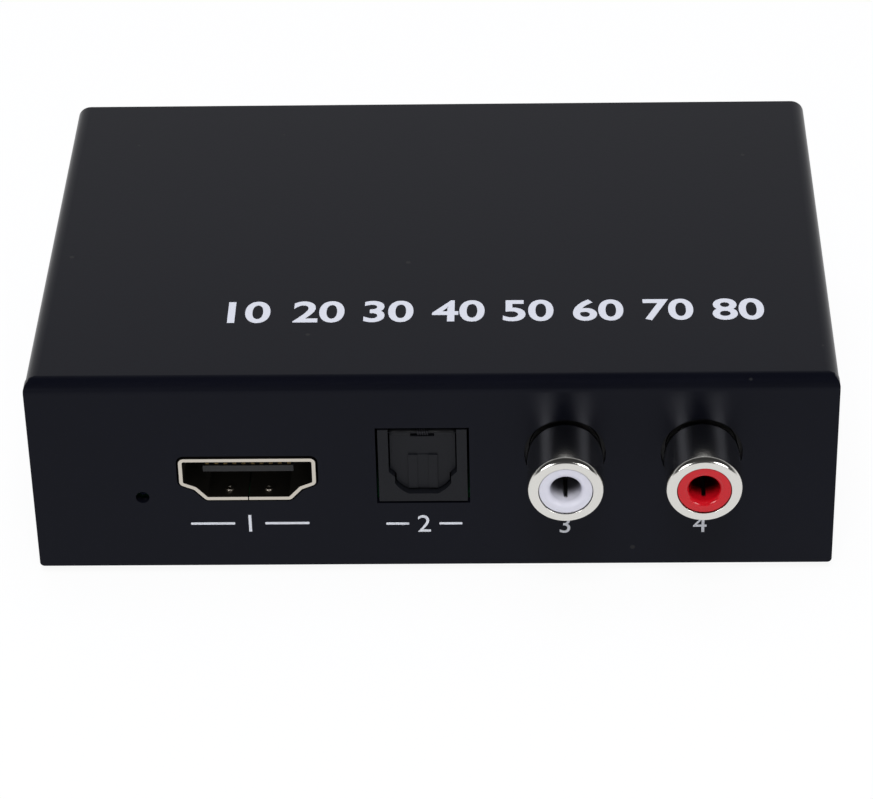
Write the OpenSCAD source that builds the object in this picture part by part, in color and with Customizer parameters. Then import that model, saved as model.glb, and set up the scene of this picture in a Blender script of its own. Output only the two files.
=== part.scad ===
// Small black steel box that takes the sound out of a picture signal. One circuit board
// carries a video socket front and back, an optical port, two phono jacks, a power jack
// and a three-way switch. Sizes are in millimetres. The origin is the middle of the whole
// box, jacks and knob included, on the surface that it stands on. The front face looks
// along -Y and Z is up.

/* [Case] */
// Width of the case from side to side
case_w = 88; // [86:0.5:110]
// Depth of the case from the front face to the back face
case_d = 60; // [58:0.5:90]
// Height of the case without its feet
case_h = 24.5; // [23.5:0.5:40]
// Thickness of the folded steel sheet
sheet_t = 1; // [0.8:0.1:1.2]
// Outer radius of the folds of the cover
bend_r = 1.6; // [1.5:0.1:3]
// How far each end of the front fold stands out past the side
fold_end_w = 0; // [0:0.05:0.2]
// Rounding of the two ends of the front fold
fold_end_r = 1.2; // [0.4:0.1:1.2]
// Rounding of the lower corners of the front flange
flange_corner_r = 0.5; // [0.2:0.1:1]
// Slit between the front flange and each side flange
seam_gap = 0.12; // [0.05:0.01:0.3]
// Outer radius of the fold between the floor and the back panel
base_bend_r = 1.5; // [1.3:0.1:2.5]
// Clearance between the cover and the base
cover_gap = 0.1; // [0.05:0.01:0.2]

/* [Case screws and feet] */
// Diameter of the shank of a case screw
case_screw_d = 2.5; // [2:0.1:3]
// Diameter of the countersunk head of a case screw
case_screw_head_d = 4.5; // [4:0.1:5]
// Length of a case screw over all
case_screw_l = 5; // [4:0.5:6]
// Distance of the case screws from the middle of the case, as a share of its depth
case_screw_share = 0.283; // [0.2:0.001:0.3]
// Height of the case screws above the underside of the case
case_screw_z = 4; // [3.5:0.1:4.5]
// Width of the tabs of the base that take the case screws
tab_w = 11; // [8:0.5:13]
// Height of those tabs above the floor
tab_h = 5.4; // [5:0.1:5.8]
// Diameter of a rubber foot where it is stuck on
foot_d = 8; // [6:0.5:10]
// Height of a rubber foot
foot_h = 1.2; // [0.8:0.1:2]
// Distance from the edges of the case to the middle of a foot
foot_inset = 11; // [10:0.5:14]

/* [Circuit board] */
// Thickness of the circuit board
board_t = 1.6; // [1.2:0.1:2]
// Height of the standoffs between the floor and the board, as a share of the case's height
board_lift_share = 0.253; // [0.24:0.001:0.27]
// Gap between the board and the panels and tabs beside it
board_edge_gap = 0.6; // [0.4:0.1:1]
// Distance from the board's edges to its mounting holes
board_hole_inset = 3.6; // [3.4:0.1:4]
// Diameter of the shank of a board screw
board_screw_d = 3; // [2.5:0.1:3]
// Diameter of the head of a board screw
board_screw_head_d = 5; // [4.5:0.1:5.5]
// Height of the head of a board screw
board_screw_head_h = 1.8; // [1.4:0.1:2.2]
// Length of a board screw below its head
board_screw_l = 5; // [4:0.5:6]
// Width of a standoff across its flats
standoff_af = 5; // [4.5:0.1:5.5]
// Diameter of the spigot of a standoff in the floor
spigot_d = 4.2; // [4:0.1:4.4]

/* [Video sockets] */
// Place of both video sockets between the status light and the right jack, as a share
video_share = 0.1906; // [0.18:0.0002:0.2]
// Outer width of a video socket's shell
video_w = 15; // [14.8:0.05:15.2]
// Outer height of the shell
video_h = 5.5; // [5.4:0.05:5.7]
// Length of the shell
video_l = 11.8; // [11:0.1:12.5]
// Thickness of the shell's wall
video_wall = 0.4; // [0.3:0.05:0.45]
// Outer rounding of the shell's corners
video_corner_r = 0.6; // [0.5:0.05:0.7]
// Height of the shell's underside above the board
video_lift = 0.25; // [0.05:0.01:0.3]
// How far the shell's mouth stands out of the panel
video_out = 0.15; // [0:0.05:0.5]
// Gap between the shell and the edge of its panel opening
video_gap = 0.25; // [0.15:0.05:0.4]
// Distance from the shell's mouth to the tip of the tongue
tongue_set = 1.4; // [1:0.1:2]
// Width of the tongue
tongue_w = 10; // [9.8:0.1:11]
// Thickness of the tongue
tongue_t = 0.8; // [0.6:0.05:1]
// Height of the tongue's middle above the shell's underside
tongue_rise = 3.25; // [3:0.05:3.4]
// Free length of the tongue
tongue_l = 7.2; // [6.5:0.1:7.5]

/* [Optical port] */
// Place of the optical port between the status light and the right jack, as a share
optical_share = 0.5045; // [0.48:0.0005:0.52]
// Width of the port's housing
optical_w = 9.7; // [9.5:0.05:10]
// Height of the housing above the board
optical_h = 9.35; // [9.2:0.05:10]
// Length of the housing
optical_l = 13.4; // [13:0.1:14]
// How far the housing's collar hangs below the top of the board
optical_drop = 0.15; // [0:0.05:0.4]
// Gap between the housing and the edge of its panel opening
optical_gap = 0.26; // [0.1:0.02:0.4]
// Width of the port
port_w = 7.45; // [7.3:0.05:7.6]
// Height of the port's floor above the board
port_lift = 0.87; // [0.7:0.01:1]
// Width of the flat part of the port's floor
port_floor_w = 3.2; // [2.8:0.1:3.6]
// Radius of the two curved lower corners of the port
port_arc_r = 3.58; // [3.4:0.02:3.7]
// Height above the port's floor at which its sides step in
port_knee = 2.9; // [2.6:0.1:3.2]
// Width of the step on each side
port_step = 0.65; // [0.5:0.05:0.75]
// Thickness of the housing's roof
optical_roof = 0.3; // [0.25:0.05:0.5]
// Distance from the housing's face to the closed shutter
shutter_set = 0.75; // [0.6:0.05:1]
// Thickness of the shutter
shutter_t = 0.8; // [0.7:0.05:1]
// Gap round the shutter
shutter_gap = 0.15; // [0.12:0.01:0.2]
// Diameter of the shutter's hinge pins
shutter_pin_d = 0.6; // [0.5:0.05:0.7]

/* [Phono jacks] */
// Place of the left jack between the status light and the right jack, as a share
phono_left_share = 0.7578; // [0.73:0.0002:0.77]
// Gap between the right jack's body and the head of the nearest board screw
phono_side_gap = 0.9; // [0.3:0.05:2]
// Height of the jacks' axes above the board
phono_rise = 6.1; // [6.1:0.05:6.5]
// Length of barrel in front of the front face
phono_out = 7.1; // [5:0.1:8]
// Outer diameter of a barrel
phono_d = 8.25; // [8:0.05:8.4]
// Diameter of the holes in the front flange for the barrels
phono_hole_d = 8.9; // [8.7:0.05:9.2]
// Rounding of a barrel's outer lip
phono_lip_r = 0.6; // [0.3:0.05:0.8]
// Outer diameter of the coloured insert
insert_d = 5.75; // [5.5:0.05:6]
// Diameter of the insert's bore
insert_bore_d = 3.3; // [3.25:0.05:3.4]
// Rounding of the mouth of that bore
insert_mouth_r = 0.6; // [0.4:0.05:0.8]
// How far the insert lies back from the barrel's lip
insert_set = 0.12; // [0:0.02:0.3]
// Width of the jacks' moulded bodies
phono_body_w = 10; // [9.6:0.1:10.4]
// Height of the jacks' moulded bodies
phono_body_h = 11.4; // [11:0.1:12.5]
// Length of the jacks' moulded bodies
phono_body_l = 9.8; // [9.4:0.1:10.4]

/* [Power jack] */
// Gap between the power jack and the head of the nearest board screw
power_side_gap = 2.45; // [0.5:0.05:4]
// Width of the power jack
power_w = 9; // [8.6:0.1:9.4]
// Length of the power jack
power_l = 13.4; // [12.5:0.1:14]
// Height of the power jack's axis above the board
power_rise = 6.5; // [6:0.1:7]
// Diameter of the bore that takes the plug
power_bore_d = 5.9; // [5.8:0.1:6.4]
// Depth of that bore
power_bore_l = 9.2; // [8.5:0.1:9.5]
// Diameter of the centre pin
power_pin_d = 2; // [1.9:0.05:2.5]
// Diameter of the hole in the back panel
power_hole_d = 8; // [7:0.1:8.4]

/* [Mode switch] */
// Width of the switch
switch_w = 12.7; // [12:0.1:13]
// Height of the switch
switch_h = 5.4; // [5:0.1:6]
// Travel of the slider to each side of the middle
switch_throw = 2; // [1.8:0.1:2.1]
// Width of the knob
knob_w = 2.2; // [1.8:0.1:2.4]
// Height of the knob
knob_h = 2.4; // [2:0.1:2.6]
// How far the knob stands out of the back panel
knob_out = 2; // [1:0.1:3]

/* [Board parts] */
// Side of the square main chip
main_chip_w = 14; // [10:0.5:14]
// Diameter of the hole in front of the status light
led_hole_d = 1.5; // [1.5:0.1:2.5]
// Gap between the status light and the head of the nearest board screw
led_side_gap = 1.75; // [0.5:0.05:3]
// Diameter of the filter capacitors' cans
can_d = 6.3; // [5:0.1:6.6]
// Height of the filter capacitors over all
can_h = 5.8; // [5:0.1:8]

/* [Hidden] */
$fn = 64;

// Overrun of a cut past the face that it leaves by
cut = 0.5;
// Clearance round pins, pegs and blocks that sit in a hole of another piece
seat_gap = 0.05;
// Clearance of flat legs in the slots of the circuit board
leg_gap = 0.15;
// How far legs and tails reach below the circuit board
leg_end = 1;

// Levels, the middle of the case, and its front and back face
board_lift = board_lift_share * case_h;
floor_z = foot_h;
case_top_z = floor_z + case_h;
board_z = floor_z + sheet_t + board_lift;
board_top_z = board_z + board_t;
mid_y = (phono_out - knob_out) / 2;
front_y = mid_y - case_d / 2;
back_y = mid_y + case_d / 2;
case_screw_y = case_screw_share * case_d;
fold_tie_l = 0.5;

// The case: the front flange is as wide as the fold above it, the base lies inside the cover
front_w = case_w + 2 * fold_end_w;
base_w = case_w - 2 * (sheet_t + cover_gap);
inner_bend_r = bend_r - sheet_t;

// The board fills the floor between the tabs and between the two panels
board_w = base_w - 2 * (sheet_t + board_edge_gap);
board_d = case_d - 2 * (sheet_t + board_edge_gap);
board_setback = sheet_t + board_edge_gap;
hole_x = board_w / 2 - board_hole_inset;
board_holes = [
    for (sx = [-1, 1], sy = [-1, 1])
        [sx * hole_x, mid_y + sy * (board_d / 2 - board_hole_inset)]
];

// Places across the case: the end ones keep clear of the board screws, the rest are shares
led_size = [3, 1.6, 1.1];
screw_side_x = hole_x - board_screw_head_d / 2;
led_x = -(screw_side_x - led_side_gap - led_size[0] / 2);
phono_right_x = screw_side_x - phono_side_gap - phono_body_w / 2;
socket_span = phono_right_x - led_x;
video_x = led_x + video_share * socket_span;
optical_x = led_x + optical_share * socket_span;
phono_left_x = led_x + phono_left_share * socket_span;
power_x = screw_side_x - power_side_gap - power_w / 2;
mode_x = (video_x + video_w / 2 + power_x - power_w / 2) / 2;

// Screws
recess_w = 0.6;
recess_share = 0.6;
recess_depth_share = 0.6;
head_sink = 0.05;

// Video shell: its outline as shares of half the width and of the height, from the top down
video_outline_shares = [[1, 1], [1, 0.375], [0.79, 0.255], [0.62, 0]];
video_seam_w = 0.12;
video_leg_w = 1.6;
video_leg_shares = [0.34, 0.84];
bump_d = 1;
bump_eye_d = 0.45;
bump_h = 0.2;
bump_x = 2.15;
bump_y = 1.6;
tongue_low_z = video_lift + tongue_rise - tongue_t / 2;
tongue_top_z = tongue_low_z + tongue_t;
block_over = 0.5;
block_end = video_l + block_over;

// Contacts of a video socket: one row on the tongue and one row under it
upper_count = 10;
lower_count = 9;
contact_pitch = 1;
contact_w = 0.4;
contact_t = 0.12;
contact_set = 0.35;
contact_gap = 0.03;
contact_foot = 0.8;
tail_gap = 0.3;
lower_tail_y = block_end + tail_gap;
upper_tail_y = lower_tail_y + contact_foot + tail_gap;

// Optical port: the shutter hangs from a hinge under the roof and swings inwards
port_arc_z = sqrt(port_arc_r * port_arc_r - port_floor_w * port_floor_w / 4);
port_ceiling_z = optical_h - optical_roof;
collar_gap = 0.1;
collar_l = board_setback - collar_gap;
roof_notch = 0.9;
hinge_r = 0.45;
hinge_y = shutter_set + shutter_t / 2;
hinge_z = port_ceiling_z - shutter_gap - hinge_r;
pin_reach = 0.6;
shutter_l = hinge_z - port_lift - shutter_gap;
cavity_l = hinge_y + shutter_l + shutter_t / 2 + shutter_gap;
pad_w = 3.2;
pad_t = 0.2;
pad_low = 0.4;
pad_h = 4.4;
pad_groove_w = 1.2;
pad_groove_t = 0.1;
spring_bay_w = 2.6;
spring_bay_t = 0.3;
spring_bay_h = 3;
spring_wire_d = 0.16;
spring_turns = 4;
spring_w = 1.2;
spring_leg = 2.4;
spring_mean_r = shutter_pin_d / 2 + seat_gap + spring_wire_d / 2;
ferrule_d = 2.3;
ferrule_z = (port_lift + hinge_z) / 2;
emitter_w = 5.6;
emitter_l = 3;
emitter_h = 6.6;
emitter_lens_d = 2;
emitter_lens_l = 0.6;
pocket_rest_l = 0.3;
pocket_y = optical_l - emitter_l - pocket_rest_l;
lead_w = 0.5;
lead_pitch = 1.6;
lead_count = 3;

// Phono jack: barrel, insert and centre contact sit one behind another in the moulded body
panel_gap = 0.2;
phono_body_y = sheet_t + panel_gap;
barrel_seat_l = 3;
barrel_end_y = phono_body_y + barrel_seat_l;
barrel_step_y = 0.3;
barrel_root_d = phono_d - 0.5;
insert_seat_l = 2.8;
insert_end_y = barrel_end_y + insert_seat_l;
contact_ring_l = 3.2;
contact_end_y = insert_end_y + contact_ring_l;
socket_d = 4.6;
socket_bore_d = insert_bore_d + 0.7;
insert_gap = 0.07;
insert_slot_w = 0.45;
insert_slot_h = 0.65;
insert_slot_set = 1.3;
leaf_w = 0.35;
leaf_t = 0.25;
ground_tab_w = 1.8;
ground_tab_t = 0.7;
ground_tab_inset = 1.4;
ground_tab_y = phono_body_y + ground_tab_inset;
signal_tail_w = 0.9;
signal_tail_t = 0.5;
signal_tail_inset = 0.9;
signal_tail_y = contact_end_y - signal_tail_inset;

// Power jack
power_y = sheet_t + panel_gap;
power_pin_front = 0.6;
power_root_d = 3;
power_tail_w = 1.6;
power_tail_t = 0.4;
leaf_slot_w = 2.4;
leaf_slot_y = 2.6;
leaf_slot_l = 5;
power_leaf_t = 0.3;

// Mode switch, from the panel inwards: frame, slider, base
frame_t = 0.35;
frame_panel_gap = 0.25;
frame_y = sheet_t + frame_panel_gap;
slider_gap = 0.1;
slider_y = frame_y + frame_t + slider_gap;
slider_l = 2.2;
slider_h = switch_h - 4 * frame_t;
switch_end_w = 0.7;
stop_gap = 0.2;
slider_w = switch_w - 2 * (switch_end_w + switch_throw + stop_gap);
switch_base_y = slider_y + slider_l + slider_gap;
switch_base_l = 2.4;
switch_end_y = switch_base_y + switch_base_l;
knob_clear = 0.25;
terminal_count = 4;
terminal_pitch = 2;
terminal_w = 0.9;
terminal_t = 0.3;
bridge_w = terminal_pitch + terminal_w;
bridge_t = 0.3;
bridge_h = 1.6;
frame_leg_w = 1.2;

// Parts soldered on the board: their sizes, and their places as shares of the board
led_lens_d = 0.9;
led_lens_l = 0.5;
chip_lift = 0.15;
chip_t = 1.4;
main_chip_shares = [-0.19, -0.02];
main_lead_count = 16;
main_lead_pitch_share = 0.057;
main_lead_size = [0.35, 1.2];
audio_chip_size = [10, 3.9];
audio_chip_shares = [0.16, -0.14];
memory_chip_size = [4.9, 3.9];
memory_chip_shares = [-0.385, 0.11];
chip_lead_size = [0.42, 1.3];
chip_lead_pitch = 1.27;
lead_under = 0.25;
crystal_size = [4.7, 11.4, 3.5];
crystal_shares = [-0.385, -0.12];
regulator_size = [6.5, 3.5, 1.7];
regulator_shares = [[0.24, 0.1], [0.36, 0.1]];
regulator_tab_size = [3, 1.6, 0.3];
inductor_size = [6, 6, 3];
inductor_shares = [0.41, -0.05];
inductor_corner = 1;
can_base_t = 0.7;
can_base_grow = 0.3;
can_shares = [[0.02, 0.04], [0.12, 0.05], [0.31, -0.11], [0.02, -0.14]];
chip_part_size = [1.6, 0.8, 0.8];
chip_capacitor_shares = [
    [-0.33, -0.16], [-0.33, -0.08], [-0.33, 0], [-0.33, 0.08], [-0.33, 0.16],
    [-0.045, -0.08], [-0.045, 0], [-0.045, 0.1], [0.1, -0.06], [0.2, -0.04],
    [0.24, 0.02], [0.36, 0.02], [-0.46, 0], [-0.44, 0.2]
];
chip_resistor_shares = [
    [-0.27, -0.205], [-0.22, -0.205], [-0.17, -0.205], [-0.12, -0.205], [-0.07, -0.205],
    [-0.12, 0.2], [-0.07, 0.2], [0.02, 0.16], [0.07, 0.16], [0.12, 0.16], [0.24, -0.2]
];
protection_size = [1, 2.5, 0.6];
protection_x = -9.5;
protection_ys = [5, 9];

// An outline in x and z, carried along y
module along_y(y0, y1) {
    translate([0, y1, 0])
        rotate([90, 0, 0])
            linear_extrude(y1 - y0)
                children();
}

// An outline in y and z, carried along x
module along_x(x0, x1) {
    translate([x0, 0, 0])
        rotate([90, 0, 90])
            linear_extrude(x1 - x0)
                children();
}

// A block centred on x, with the near lower edge at y and z
module block(size, y, z, x = 0) {
    translate([x - size[0] / 2, y, z])
        cube(size);
}

// A round rod along y that starts at y0
module rod(d, y0, y1, z, x = 0) {
    translate([x, y1, z])
        rotate([90, 0, 0])
            cylinder(d = d, h = y1 - y0);
}

// What a rounded outline loses at one corner, about the centre of its arc
module corner_waste(r, side, up) {
    difference() {
        translate([min(0, side * (r + cut)), min(0, up * (r + cut))])
            square(r + cut);
        circle(r);
    }
}

// A rectangle on the x axis with its upper and lower corners rounded
module plate_outline(w, h, top_r, low_r = 0) {
    difference() {
        translate([-w / 2, 0])
            square([w, h]);
        for (side = [-1, 1]) {
            translate([side * (w / 2 - top_r), h - top_r])
                corner_waste(top_r, side, 1);
            if (low_r > 0)
                translate([side * (w / 2 - low_r), low_r])
                    corner_waste(low_r, side, -1);
        }
    }
}

// Places a socket of the front or the back panel: its mouth is at y = 0, the board at z = 0
module front_place(x) {
    translate([x, front_y, board_top_z])
        children();
}

module back_place(x) {
    translate([x, back_y, board_top_z])
        rotate([0, 0, 180])
            children();
}

// Both phono jacks stand in the same way
module phono_places() {
    for (x = [phono_left_x, phono_right_x])
        front_place(x)
            children();
}

module video_places() {
    front_place(video_x)
        children();
    back_place(video_x)
        children();
}

// The four places of the case screws, with z along the screw and its head outwards
module case_screw_places() {
    for (side = [-1, 1], end = [-1, 1])
        translate([side * (case_w / 2 - head_sink), mid_y + end * case_screw_y,
                   floor_z + case_screw_z])
            rotate([0, side * 90, 0])
                children();
}

// Profile of the front flange and the fold over it, in y and z
module front_fold_outline() {
    difference() {
        translate([front_y, floor_z])
            square([bend_r, case_h]);
        translate([front_y + bend_r, case_top_z - bend_r])
            corner_waste(bend_r, -1, 1);
        difference() {
            translate([front_y + sheet_t, floor_z - cut])
                square([bend_r - sheet_t + cut, case_h - sheet_t + cut]);
            translate([front_y + bend_r, case_top_z - bend_r])
                corner_waste(inner_bend_r, -1, 1);
        }
    }
}

// The holes that the sockets need in the front flange and in the back panel
module front_openings() {
    front_place(video_x)
        along_y(-cut, sheet_t + cut)
            video_outline(video_gap);
    front_place(optical_x)
        block([optical_w + 2 * optical_gap, sheet_t + 2 * cut,
               optical_h + optical_drop + 2 * optical_gap], -cut, -optical_drop - optical_gap);
    phono_places()
        rod(phono_hole_d, -cut, sheet_t + cut, phono_rise);
    front_place(led_x)
        rod(led_hole_d, -cut, sheet_t + cut, led_size[2] / 2);
}

module back_openings() {
    back_place(video_x)
        along_y(-cut, sheet_t + cut)
            video_outline(video_gap);
    back_place(power_x)
        rod(power_hole_d, -cut, sheet_t + cut, power_rise);
    back_place(mode_x)
        knob_slot(-cut, sheet_t + cut);
}

// Cover: top, side flanges and front flange folded from one sheet
module top_cover() {
    color([0.12, 0.12, 0.14])
    difference() {
        union() {
            along_y(front_y + bend_r, back_y)
                translate([0, floor_z])
                    difference() {
                        plate_outline(case_w, case_h, bend_r);
                        translate([0, -cut])
                            plate_outline(case_w - 2 * sheet_t, case_h - sheet_t + cut, inner_bend_r);
                    }
            for (side = [-1, 1])
                block([sheet_t, bend_r - sheet_t - seam_gap, case_h - bend_r],
                      front_y + sheet_t + seam_gap, floor_z, side * (case_w - sheet_t) / 2);
            block([case_w - 2 * bend_r, 2 * fold_tie_l, sheet_t / 2], front_y + bend_r - fold_tie_l,
                  case_top_z - sheet_t);
            intersection() {
                along_x(-front_w / 2, front_w / 2)
                    front_fold_outline();
                along_y(front_y - cut, front_y + bend_r)
                    translate([0, floor_z])
                        plate_outline(front_w, case_h, fold_end_r, flange_corner_r);
            }
        }
        front_openings();
        case_screw_places()
            rotate_extrude()
                polygon([
                    [0, -sheet_t], [case_screw_d / 2 + seat_gap, -sheet_t],
                    [case_screw_head_d / 2 + seat_gap, 0],
                    [case_screw_head_d / 2 + seat_gap, head_sink + cut], [0, head_sink + cut]
                ]);
    }
}

// Base: floor and back panel folded from one sheet, with four tapped tabs
module base_tray() {
    back_h = case_h - sheet_t - cover_gap;
    floor_l = case_d - sheet_t - cover_gap;
    color([0.12, 0.12, 0.14])
    difference() {
        union() {
            along_x(-base_w / 2, base_w / 2)
                translate([back_y - floor_l, floor_z])
                    difference() {
                        square([floor_l, back_h]);
                        translate([floor_l - base_bend_r, base_bend_r])
                            corner_waste(base_bend_r, 1, -1);
                        difference() {
                            translate([-cut, sheet_t])
                                square([floor_l - sheet_t + cut, back_h]);
                            translate([floor_l - base_bend_r, base_bend_r])
                                corner_waste(base_bend_r - sheet_t, 1, -1);
                        }
                    }
            for (side = [-1, 1], end = [-1, 1])
                block([sheet_t, tab_w, sheet_t + tab_h], mid_y + end * case_screw_y - tab_w / 2,
                      floor_z, side * (base_w - sheet_t) / 2);
        }
        for (side = [-1, 1])
            along_y(back_y - sheet_t - cut, back_y + cut)
                translate([side * (base_w / 2 - inner_bend_r), floor_z + back_h - inner_bend_r])
                    corner_waste(inner_bend_r, side, 1);
        back_openings();
        for (p = board_holes)
            translate([p[0], p[1], floor_z - cut])
                cylinder(d = spigot_d + 2 * seat_gap, h = sheet_t + 2 * cut);
        case_screw_places()
            translate([0, 0, -case_screw_l - cut])
                cylinder(d = case_screw_d + 2 * seat_gap, h = case_screw_l);
    }
}

// A cross recess in the top of a screw head, open upwards
module cross_recess(head_d, head_h) {
    long = head_d * recess_share;
    deep = head_h * recess_depth_share;
    for (turn = [0, 90])
        rotate([0, 0, turn])
            translate([-long / 2, -recess_w / 2, -deep])
                cube([long, recess_w, deep + cut]);
}

// Countersunk screws that hold the cover to the tabs of the base
module case_screws() {
    color([0.1, 0.1, 0.11])
    case_screw_places()
        difference() {
            union() {
                translate([0, 0, -sheet_t])
                    cylinder(d1 = case_screw_d, d2 = case_screw_head_d, h = sheet_t);
                translate([0, 0, -case_screw_l])
                    cylinder(d = case_screw_d, h = case_screw_l - sheet_t / 2);
            }
            cross_recess(case_screw_head_d, sheet_t);
        }
}

// Stick-on feet under the floor
module rubber_feet() {
    foot_taper_share = 0.9;
    color([0.05, 0.05, 0.05])
    for (sx = [-1, 1], sy = [-1, 1])
        translate([sx * (case_w / 2 - foot_inset), mid_y + sy * (case_d / 2 - foot_inset), 0])
            cylinder(d1 = foot_d * foot_taper_share, d2 = foot_d, h = foot_h);
}

// Hexagonal standoffs pressed into the floor
module board_standoffs() {
    bore_l = board_lift + sheet_t / 2;
    color([0.78, 0.7, 0.45])
    for (p = board_holes)
        translate([p[0], p[1], floor_z])
            difference() {
                union() {
                    cylinder(d = spigot_d, h = sheet_t + board_lift / 2);
                    translate([0, 0, sheet_t])
                        cylinder(d = standoff_af / cos(30), h = board_lift, $fn = 6);
                }
                translate([0, 0, sheet_t + board_lift - bore_l])
                    cylinder(d = board_screw_d + 2 * seat_gap, h = bore_l + cut);
            }
}

// Pan-head screws that hold the board
module board_screws() {
    color([0.75, 0.75, 0.77])
    for (p = board_holes)
        translate([p[0], p[1], board_top_z])
            difference() {
                union() {
                    cylinder(d = board_screw_head_d, h = board_screw_head_h);
                    translate([0, 0, -board_screw_l])
                        cylinder(d = board_screw_d, h = board_screw_l + board_screw_head_h / 2);
                }
                translate([0, 0, board_screw_head_h])
                    cross_recess(board_screw_head_d, board_screw_head_h);
            }
}

// Circuit board, with a hole or slot for each leg that goes through it
module main_board() {
    color([0.05, 0.3, 0.16])
    difference() {
        translate([-board_w / 2, mid_y - board_d / 2, board_z])
            cube([board_w, board_d, board_t]);
        for (p = board_holes)
            translate([p[0], p[1], board_z - cut])
                cylinder(d = board_screw_d + 4 * seat_gap, h = board_t + 2 * cut);
        video_places()
            translate([0, -video_out, 0])
                video_legs(leg_gap);
        front_place(optical_x)
            optical_lead_set(leg_gap);
        phono_places() {
            ground_tab(leg_gap);
            signal_tail(leg_gap);
        }
        back_place(power_x) {
            power_pin_tail(leg_gap);
            power_leaf_tail(leg_gap);
        }
        back_place(mode_x) {
            switch_terminal_tails(leg_gap);
            switch_frame_legs(leg_gap);
        }
    }
}

// Outline of the video shell, wider at the top, made larger by grow
module video_outline(grow) {
    right = [for (s = video_outline_shares) [s[0] * video_w / 2, s[1] * video_h + video_lift]];
    left = [for (i = [len(right) - 1:-1:0]) [-right[i][0], right[i][1]]];
    offset(r = video_corner_r + grow, $fn = 32)
        offset(delta = -video_corner_r)
            polygon(concat(right, left));
}

// Four flat legs in line with the shell's sides
module video_legs(grow) {
    leg_top = video_lift + video_outline_shares[1][1] * video_h + video_corner_r;
    for (side = [-1, 1], s = video_leg_shares)
        block([video_wall + 2 * grow, video_leg_w + 2 * grow, board_t + leg_end + leg_top],
              s * video_l - video_leg_w / 2 - grow, -board_t - leg_end,
              side * (video_w - video_wall) / 2);
}

// Shell of a video socket: folded sheet with a seam below, legs and two pressed bumps
module video_shell() {
    difference() {
        union() {
            along_y(0, video_l)
                video_outline(0);
            video_legs(0);
        }
        along_y(-cut, video_l + cut)
            video_outline(-video_wall);
        block([video_seam_w, video_l + 2 * cut, video_wall + cut + video_lift], -cut, -cut);
    }
    for (side = [-1, 1])
        translate([side * bump_x, bump_y, video_lift + video_wall])
            difference() {
                cylinder(d = bump_d, h = bump_h);
                translate([0, 0, bump_h / 2])
                    cylinder(d = bump_eye_d, h = bump_h);
            }
}

// One contact: a strip along the tongue, a tail down behind the block and a foot on the board
module video_contact(x, low_z, tail_y, grow = 0) {
    from_y = tongue_set + contact_set;
    block([contact_w, tail_y + contact_t - from_y, contact_t], from_y, low_z, x);
    block([contact_w, contact_t, low_z + contact_t], tail_y, 0, x);
    block([contact_w, contact_foot, contact_t], tail_y, 0, x);
}

upper_xs = [for (i = [0:upper_count - 1]) (i - (upper_count - 1) / 2) * contact_pitch];
lower_xs = [for (i = [0:lower_count - 1]) (i - (lower_count - 1) / 2) * contact_pitch];

module video_contact_set() {
    for (x = upper_xs)
        video_contact(x, tongue_top_z, upper_tail_y);
    for (x = lower_xs)
        video_contact(x, tongue_low_z - contact_t, lower_tail_y);
}

// Black insulator: the block in the back of the shell, and the tongue
module video_insulator() {
    block_y = tongue_set + tongue_l;
    slot = [contact_w + 2 * contact_gap, block_end - block_y + 2 * cut, contact_t + contact_gap];
    difference() {
        union() {
            along_y(block_y, block_end)
                video_outline(-video_wall - seat_gap);
            block([tongue_w, tongue_l + cut, tongue_t], tongue_set, tongue_low_z);
        }
        for (x = upper_xs)
            block(slot, block_y - cut, tongue_top_z, x);
        for (x = lower_xs)
            block(slot, block_y - cut, tongue_low_z - slot[2], x);
    }
}

module video_out_shell() {
    color([0.83, 0.8, 0.74])
    front_place(video_x)
        translate([0, -video_out, 0])
            video_shell();
}

module video_out_insulator() {
    color([0.06, 0.06, 0.07])
    front_place(video_x)
        translate([0, -video_out, 0])
            video_insulator();
}

module video_out_contacts() {
    color([0.85, 0.65, 0.3])
    front_place(video_x)
        translate([0, -video_out, 0])
            video_contact_set();
}

module video_in_shell() {
    color([0.83, 0.8, 0.74])
    back_place(video_x)
        translate([0, -video_out, 0])
            video_shell();
}

module video_in_insulator() {
    color([0.06, 0.06, 0.07])
    back_place(video_x)
        translate([0, -video_out, 0])
            video_insulator();
}

module video_in_contacts() {
    color([0.85, 0.65, 0.3])
    back_place(video_x)
        translate([0, -video_out, 0])
            video_contact_set();
}

// Outline of the optical port up to top_z: straight sides, a step and two curved corners
module port_outline(grow, top_z) {
    half = port_w / 2 + grow;
    step_half = half - port_step;
    knee_z = port_lift + port_knee;
    low_z = port_lift - grow;
    arc_z = port_lift + port_arc_z;
    arc_r = port_arc_r + grow;
    difference() {
        polygon([
            [-half, top_z], [-half, knee_z], [-step_half, knee_z - port_step], [-step_half, low_z],
            [step_half, low_z], [step_half, knee_z - port_step], [half, knee_z], [half, top_z]
        ]);
        intersection() {
            difference() {
                translate([-half - cut, low_z - cut])
                    square([2 * (half + cut), arc_z - low_z + cut]);
                translate([0, arc_z])
                    circle(arc_r);
            }
            translate([-step_half - cut / 2, low_z - cut])
                square([2 * step_half + cut, knee_z - port_step - low_z + cut]);
        }
    }
}

// The emitter's leads, from its middle down through the board
module optical_lead_set(grow) {
    for (i = [0:lead_count - 1])
        block([lead_w + 2 * grow, lead_w + 2 * grow, board_t + leg_end],
              pocket_y + emitter_l / 2 - lead_w / 2 - grow, -board_t - leg_end,
              (i - (lead_count - 1) / 2) * lead_pitch);
}

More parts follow.
